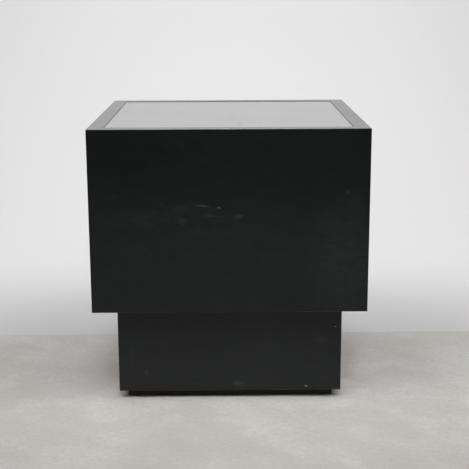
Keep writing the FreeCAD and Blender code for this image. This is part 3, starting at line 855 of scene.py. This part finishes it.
def make_screws():
    """Every group of wood screws, from three lengths of the same screw."""
    lengths = (LONG_SCREW, RIM_SCREW, KICK_SCREW)
    long_screw, rim_screw, kick_screw = (wood_screw(length) for length in lengths)
    ledge_low, ledge_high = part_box("ledge_front_batten")
    ledge_middle = (ledge_low.z + ledge_high.z) / 2
    ledge_inner = -ledge_high.y
    rail_line = (RIM_INNER + CASE_HALF - BOARD) / 2
    kick = middle_of("kick_front_batten")
    kick_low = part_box("kick_front_batten")[0].z
    groups = {
        "case_post_screws": (long_screw, post_spots("case", 3)),
        "base_post_screws": (long_screw, post_spots("base", 2)),
        "ledge_screws": (long_screw, side_spots(ledge_inner, ledge_middle, (-LEDGE_SPREAD, 0, LEDGE_SPREAD))),
        "rim_screws": (rim_screw, side_spots(rail_line, ledge_low.z, (-RAIL_SPREAD, RAIL_SPREAD), UP)),
        "kick_screws": (kick_screw, side_spots(-kick.y, kick_low, (-RAIL_SPREAD, RAIL_SPREAD), UP)),
        "case_floor_screws": (long_screw, corner_spots("case", CASE_LOW, UP)),
        "base_lid_screws": (long_screw, corner_spots("base", BASE_HIGH, DOWN)),
        "base_floor_screws": (long_screw, corner_spots("base", BASE_LOW, UP)),
    }
    for node, (pattern, spots) in groups.items():
        set_out(pattern, spots, node, ZINC, SMOOTH_METAL)
    for pattern in (long_screw, rim_screw, kick_screw):
        bpy.data.objects.remove(pattern, do_unlink=True)


def make_bolts():
    """The four deck bolts, head up on their washers."""
    bolt = deck_bolt()
    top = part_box("deck_washers")[1].z
    spread_out = (-BOLT_SPREAD, BOLT_SPREAD)
    spots = [(Vector((x, y, top)), DOWN) for x in spread_out for y in spread_out]
    set_out(bolt, spots, "deck_bolts", ZINC, SMOOTH_METAL)
    bpy.data.objects.remove(bolt, do_unlink=True)


def make_dots():
    """The felt dots on the ledge, under the top panel."""
    low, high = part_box("felt_dots")
    dot = felt_dot(high.z - low.z)
    spots = side_spots(-low.y - DOT_RADIUS, low.z, (-DOT_SPREAD, DOT_SPREAD), UP)
    dots = set_out(dot, spots, "felt_dots", FELT, SMOOTH_FELT)
    bpy.data.objects.remove(dot, do_unlink=True)


# ---- the studio ----

CAMERA_PLACE = Vector((-0.0035, -2.4918, 0.9026))
CAMERA_PITCH, CAMERA_ROLL, CAMERA_HEADING = 13.07, -0.232, -0.381
CAMERA_LENS, SENSOR = 80.7, 36.0
FLOOR_EDGE, FLOOR_SKEW = 0.217, 0.0105
STAGE_HALF = 7.0
COVE_START, COVE_RADIUS, COVE_STEPS, WALL_HEIGHT = 1.4, 2.0, 24, 4.5
FLOOR_GREY, FLOOR_PALE = (0.43, 0.41, 0.385, 1), (0.53, 0.515, 0.49, 1)
FLOOR_TROWEL, FLOOR_WORN = (0.4, 0.38, 0.355, 1), (0.6, 0.58, 0.555, 1)
# the last floor colour, for far out in the room, is painted shade
FLOOR_GRIT, FLOOR_SPECK, FLOOR_FAR_SHADE = (0.37, 0.35, 0.325, 1), (0.2, 0.18, 0.15, 1), (0.16, 0.165, 0.163, 1)
WALL_GREY, WALL_PALE = (0.67, 0.67, 0.672, 1), (0.69, 0.69, 0.692, 1)
# the backdrop's foot colour is painted shade and its top colour is painted light
WALL_FOOT_SHADE, WALL_TOP_LIGHT = (0.51, 0.507, 0.504, 1), (0.86, 0.86, 0.86, 1)
ROOM_AHEAD, ROOM_BEHIND = (0.14, 0.14, 0.144, 1), (0.4, 0.4, 0.41, 1)
# name, place, point aimed at, side, power, angle of the beam in degrees
LIGHTS = (
    ("left_light", (-1.5, -1.3, 3.0), (0, 0, 0.3), 2.6, 62.5, 180),
    ("right_light", (1.5, -1.3, 3.0), (0, 0, 0.3), 2.6, 70, 180),
    ("front_light", (0.0, -1.9, 2.2), (0, -0.18, 0), 0.7, 0.8, 18),
    ("backdrop_light", (0.0, 1.9, 3.4), (0, 3.0, 0.5), 3.6, 46, 130),
)


def add_camera():
    """The camera, a long lens a little above the top."""
    data = bpy.data.cameras.new("camera")
    data.lens, data.sensor_width = CAMERA_LENS, SENSOR
    data.clip_start, data.clip_end = 0.05, 60
    camera = bpy.data.objects.new("camera", data)
    bpy.context.scene.collection.objects.link(camera)
    heading = Matrix.Rotation(math.radians(CAMERA_HEADING), 4, "Z")
    pitch = Matrix.Rotation(math.radians(90 - CAMERA_PITCH), 4, "X")
    roll = Matrix.Rotation(math.radians(CAMERA_ROLL), 4, "Z")
    camera.matrix_world = Matrix.Translation(CAMERA_PLACE) @ heading @ pitch @ roll
    bpy.context.scene.camera = camera


def mesh_object(name, points, faces, finish, smooth=False):
    """A stage mesh from its points and faces."""
    mesh = bpy.data.meshes.new(name)
    mesh.from_pydata(points, [], faces)
    mesh.materials.append(finish)
    for face in mesh.polygons:
        face.use_smooth = smooth
    made = bpy.data.objects.new(name, mesh)
    bpy.context.scene.collection.objects.link(made)
    return made


def floor_finish():
    """A pale floor with soft mottling, with painted shade that makes it dimmer far out in the room."""
    made, tree, shader, place = material("pale_floor", roughness=0.75)
    cloud = noise(tree, place, 2.5, 5.0)
    grit = noise(tree, place, 90.0, 3.0)
    trowel = noise(tree, stretched(tree, place, (5, 12, 12), (0, 0, 0.5)), 1.0, 6.0)
    specks = step(tree, noise(tree, place, 210.0, 1.0), 0.66, 0.76)
    pale = step(tree, noise(tree, place, 9.0, 6.0), 0.5, 0.7)
    colour = blend(tree, step(tree, cloud, 0.3, 0.7), FLOOR_GREY, FLOOR_PALE)
    colour = blend(tree, step(tree, trowel, 0.35, 0.65, 0.0, 0.4), colour, FLOOR_TROWEL)
    colour = blend(tree, calc(tree, "MULTIPLY", pale, 0.4), colour, FLOOR_WORN)
    colour = blend(tree, step(tree, grit, 0.3, 0.75, 0.0, 0.4), colour, FLOOR_GRIT)
    colour = blend(tree, calc(tree, "MULTIPLY", specks, 0.35), colour, FLOOR_SPECK)
    ahead = add(tree, "SeparateXYZ", {0: place}).outputs[1]
    # painted shade: the floor's colour darkens the farther it lies out in front of the plinth
    colour = blend(tree, ramp(tree, ahead, -0.25, -3.2), colour, FLOOR_FAR_SHADE)
    fill(shader, {"Base Color": colour})
    return made


def backdrop_finish():
    """A pale, even backdrop, with painted shade that greys its near end and painted light that whitens its
    top.
    """
    made, tree, shader, place = material("pale_backdrop", roughness=0.9)
    cloud = noise(tree, place, 0.8, 3.0)
    colour = blend(tree, cloud, WALL_GREY, WALL_PALE)
    parts = add(tree, "SeparateXYZ", {0: place}).outputs
    # painted shade: the backdrop's near end, by the floor and the plinth, is made greyer
    colour = blend(tree, step(tree, parts[1], 0.95, 0.1), colour, WALL_FOOT_SHADE)
    # painted light: the top of the backdrop is made whiter
    colour = blend(tree, step(tree, parts[2], 0.92, 1.15), colour, WALL_TOP_LIGHT)
    fill(shader, {"Base Color": colour})
    return made


def add_stage():
    """The floor, which ends behind the plinth, and the backdrop that sweeps up beyond it."""
    near, far = -STAGE_HALF, STAGE_HALF
    left, right = FLOOR_EDGE - FLOOR_SKEW * STAGE_HALF, FLOOR_EDGE + FLOOR_SKEW * STAGE_HALF
    floor = [(near, -STAGE_HALF, 0), (far, -STAGE_HALF, 0), (far, right, 0), (near, left, 0)]
    mesh_object("floor", floor, [(0, 1, 2, 3)], floor_finish())
    profile = [(None, 0.0), (COVE_START, 0.0)]
    for count in range(1, COVE_STEPS + 1):
        angle = count / COVE_STEPS * math.pi / 2
        profile.append((COVE_START + COVE_RADIUS * math.sin(angle), COVE_RADIUS * (1 - math.cos(angle))))
    profile.append((COVE_START + COVE_RADIUS, WALL_HEIGHT))
    points = []
    for y, z in profile:
        points.append((near, left if y is None else y, z))
        points.append((far, right if y is None else y, z))
    faces = [(i, i + 1, i + 3, i + 2) for i in range(0, len(points) - 2, 2)]
    mesh_object("backdrop", points, faces, backdrop_finish(), smooth=True)


def add_light(name, place, aim, size, power, beam):
    """A soft square light aimed at a point, with its beam's angle in degrees."""
    data = bpy.data.lights.new(name, "AREA")
    data.shape, data.size, data.energy, data.spread = "SQUARE", size, power, math.radians(beam)
    light = bpy.data.objects.new(name, data)
    bpy.context.scene.collection.objects.link(light)
    light.location = place
    light.rotation_euler = (Vector(aim) - Vector(place)).to_track_quat("-Z", "Y").to_euler()


def add_lights():
    """Two soft lights high in front, a small one on the floor ahead, one on the backdrop, and a dim room."""
    for light in LIGHTS:
        add_light(*light)
    world = bpy.data.worlds.new("room")
    bpy.context.scene.world = world
    world.use_nodes = True
    tree = world.node_tree
    tree.nodes.clear()
    direction = add(tree, "SeparateXYZ", {0: add(tree, "TexCoord").outputs["Generated"]}).outputs
    behind = step(tree, direction[1], -0.2, 0.9)
    colour = blend(tree, behind, ROOM_AHEAD, ROOM_BEHIND)
    background = add(tree, "Background", {0: colour, 1: 1.0})
    output = tree.nodes.new("ShaderNodeOutputWorld")
    tree.links.new(background.outputs[0], output.inputs[0])


# ---- making it all ----

add_camera()
deselect()
finish_nodes()
make_screws()
make_bolts()
make_dots()
add_stage()
add_lights()
bpy.context.scene.view_settings.view_transform = "Standard"
